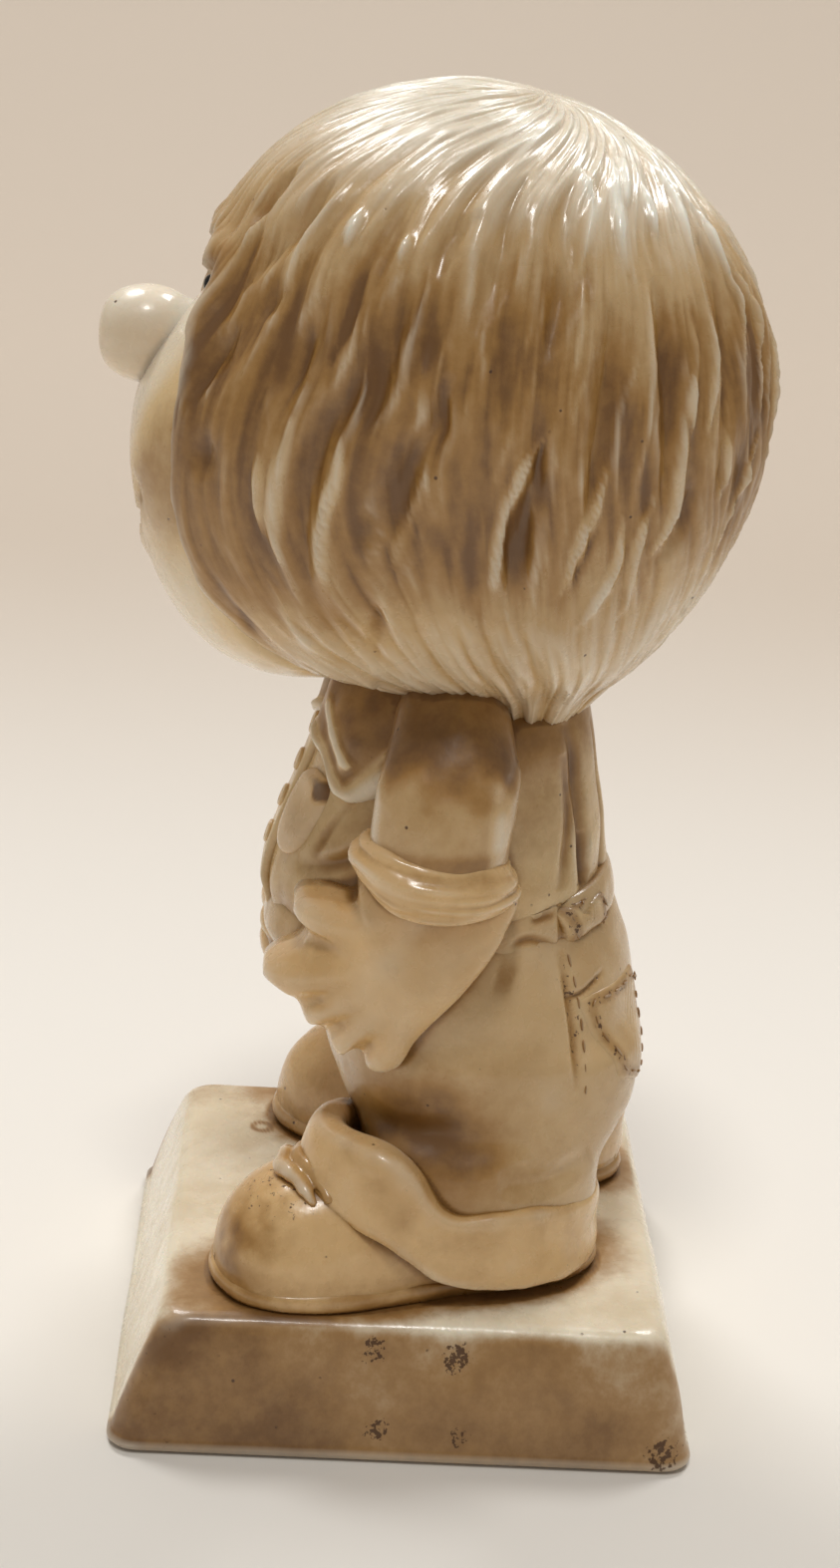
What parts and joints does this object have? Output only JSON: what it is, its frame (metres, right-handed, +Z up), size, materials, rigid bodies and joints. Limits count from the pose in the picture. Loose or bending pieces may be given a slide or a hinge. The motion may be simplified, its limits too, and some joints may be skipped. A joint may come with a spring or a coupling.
{
  "type": "resin bowler figurine",
  "caption": "Cast-resin gift figurine of a small boy bowler with long grooved hair, hand on hip and a bowling ball held at the other hip, standing on a square tapered plinth.",
  "frame": {"origin": "Centre of the plinth's flat underside.", "axes": "+Z is up, from the plinth's underside to the crown. The figure faces -Y, and its left side, which the picture shows, is +X."},
  "size_m": [0.0654, 0.0695, 0.1395],
  "materials": {
    "cream_resin": "polished cast resin with a thin brown antique stain left in the hollows",
    "ivory_resin": "glossy cast resin, lightly stained",
    "bone_resin": "glossy cast resin, lightly stained",
    "tan_resin": "glossy cast resin with brown stain in every groove",
    "brown_stained_resin": "cast resin, heavily stained brown",
    "black_bead": "small polished black beads set in as eyes"
  },
  "bodies": {
    "root": {"plinth": "cream_resin", "left_shoe_sole": "bone_resin", "left_shoe_upper": "bone_resin", "left_shoe_tongue": "brown_stained_resin", "right_shoe_sole": "bone_resin", "right_shoe_upper": "bone_resin", "right_shoe_tongue": "brown_stained_resin", "trousers": "tan_resin", "left_turn_up": "bone_resin", "right_turn_up": "bone_resin", "waistband": "tan_resin", "waistband_patch": "ivory_resin", "left_back_pocket": "tan_resin", "right_back_pocket": "tan_resin", "shirt": "ivory_resin", "placket": "ivory_resin", "button_1": "bone_resin", "button_2": "bone_resin", "button_3": "bone_resin", "button_4": "bone_resin", "left_collar": "ivory_resin", "right_collar": "ivory_resin", "chest_pocket": "bone_resin", "left_sleeve": "tan_resin", "left_cuff": "bone_resin", "right_sleeve": "tan_resin", "right_cuff": "bone_resin", "left_hand": "bone_resin", "right_hand": "bone_resin", "bowling_ball": "brown_stained_resin", "head": "ivory_resin", "nose": "bone_resin", "left_eye": "black_bead", "right_eye": "black_bead", "hair": "tan_resin"}
  },
  "joints": []
}
